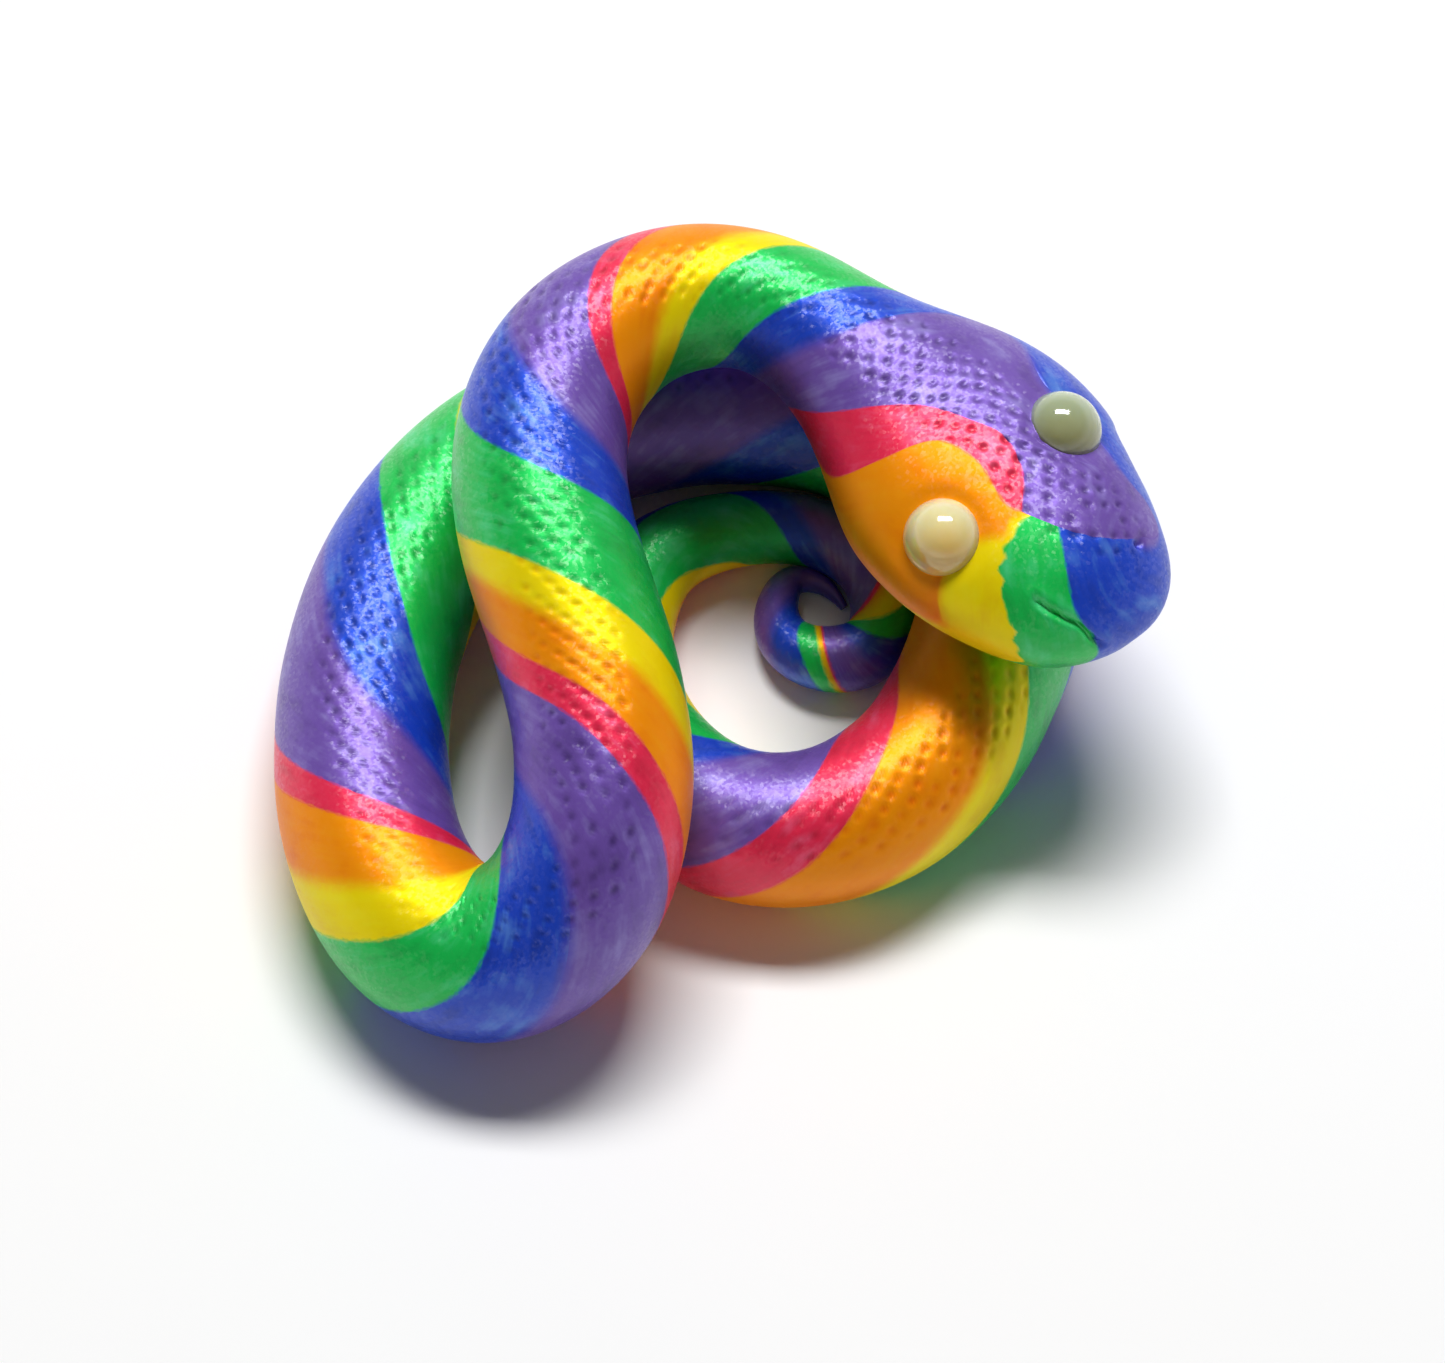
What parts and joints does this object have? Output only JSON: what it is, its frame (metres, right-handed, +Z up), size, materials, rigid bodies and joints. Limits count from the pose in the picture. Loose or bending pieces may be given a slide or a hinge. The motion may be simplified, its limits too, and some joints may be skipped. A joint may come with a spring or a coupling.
{
  "type": "coiled snake figurine",
  "caption": "Coiled snake figurine rolled from twisted strands of pearl polymer clay, with a lifted head, a curled tail and domed bead eyes.",
  "frame": {"origin": "centre of the figurine's footprint, on the surface it stands on", "axes": "+Z up, +X along the longest extent towards the side the snout points to, +Y away from the camera of the reference view"},
  "size_m": [0.0464, 0.0432, 0.019],
  "materials": {
    "violet_clay": "satin pearl",
    "blue_clay": "satin pearl",
    "green_clay": "satin pearl",
    "yellow_clay": "satin pearl",
    "orange_clay": "satin pearl",
    "red_clay": "satin pearl",
    "left_bead": "milky translucent gloss",
    "right_bead": "smoky translucent gloss"
  },
  "bodies": {
    "root": {"violet_strand": "violet_clay", "blue_strand": "blue_clay", "green_strand": "green_clay", "yellow_strand": "yellow_clay", "orange_strand": "orange_clay", "red_strand": "red_clay", "left_eye": "left_bead", "right_eye": "right_bead"}
  },
  "joints": []
}
